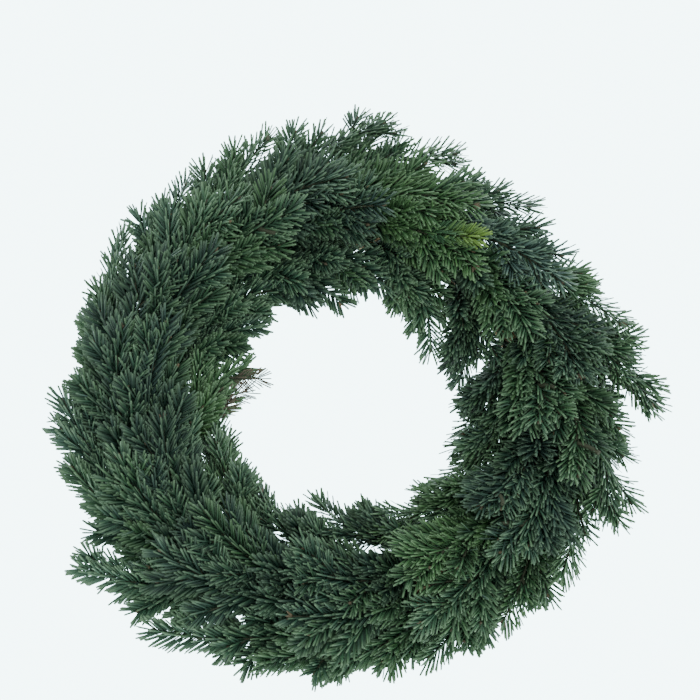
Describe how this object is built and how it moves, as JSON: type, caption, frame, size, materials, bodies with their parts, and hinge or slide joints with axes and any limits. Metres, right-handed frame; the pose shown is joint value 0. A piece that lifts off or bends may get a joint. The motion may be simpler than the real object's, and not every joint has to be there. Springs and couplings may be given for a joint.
{
  "type": "fresh evergreen wreath",
  "caption": "Round wreath of overlapping fir sprays bound to a flat-backed straw ring with wire, lying on its back around an open middle.",
  "frame": {"origin": "middle of the outline's box, on the surface that the wreath's flat back rests on", "axes": "+Z out of the wreath's face, +Y towards the top of the picture, +X to its right"},
  "size_m": [0.6156, 0.5998, 0.1013],
  "materials": {
    "fir": "waxy fir needles on thin brown twigs",
    "straw": "packed dry straw, matt",
    "wire": "thin dark green lacquered wire"
  },
  "bodies": {
    "root": {"binding_wire": "wire", "fir_spray_face_01": "fir", "fir_spray_face_02": "fir", "fir_spray_face_03": "fir", "fir_spray_face_04": "fir", "fir_spray_face_05": "fir", "fir_spray_face_06": "fir", "fir_spray_face_07": "fir", "fir_spray_face_08": "fir", "fir_spray_face_09": "fir", "fir_spray_face_10": "fir", "fir_spray_face_11": "fir", "fir_spray_face_12": "fir", "fir_spray_inner_01": "fir", "fir_spray_inner_02": "fir", "fir_spray_inner_03": "fir", "fir_spray_inner_04": "fir", "fir_spray_inner_05": "fir", "fir_spray_inner_06": "fir", "fir_spray_inner_07": "fir", "fir_spray_inner_08": "fir", "fir_spray_inner_09": "fir", "fir_spray_inner_10": "fir", "fir_spray_inner_11": "fir", "fir_spray_inner_12": "fir", "fir_spray_inner_13": "fir", "fir_spray_outer_01": "fir", "fir_spray_outer_02": "fir", "fir_spray_outer_03": "fir", "fir_spray_outer_04": "fir", "fir_spray_outer_05": "fir", "fir_spray_outer_06": "fir", "fir_spray_outer_07": "fir", "fir_spray_outer_08": "fir", "fir_spray_outer_09": "fir", "fir_spray_outer_10": "fir", "fir_spray_outer_11": "fir", "fir_spray_outer_12": "fir", "fir_spray_outer_13": "fir", "fir_spray_outer_14": "fir", "fir_spray_outer_15": "fir", "fir_spray_outer_16": "fir", "fir_spray_outer_17": "fir", "fir_spray_outer_18": "fir", "fir_spray_outer_19": "fir", "fir_spray_shoulder_01": "fir", "fir_spray_shoulder_02": "fir", "fir_spray_shoulder_03": "fir", "fir_spray_shoulder_04": "fir", "fir_spray_shoulder_05": "fir", "fir_spray_shoulder_06": "fir", "fir_spray_shoulder_07": "fir", "fir_spray_shoulder_08": "fir", "fir_spray_shoulder_09": "fir", "fir_spray_shoulder_10": "fir", "fir_spray_shoulder_11": "fir", "fir_spray_shoulder_12": "fir", "fir_spray_shoulder_13": "fir", "straw_ring": "straw"}
  },
  "joints": []
}
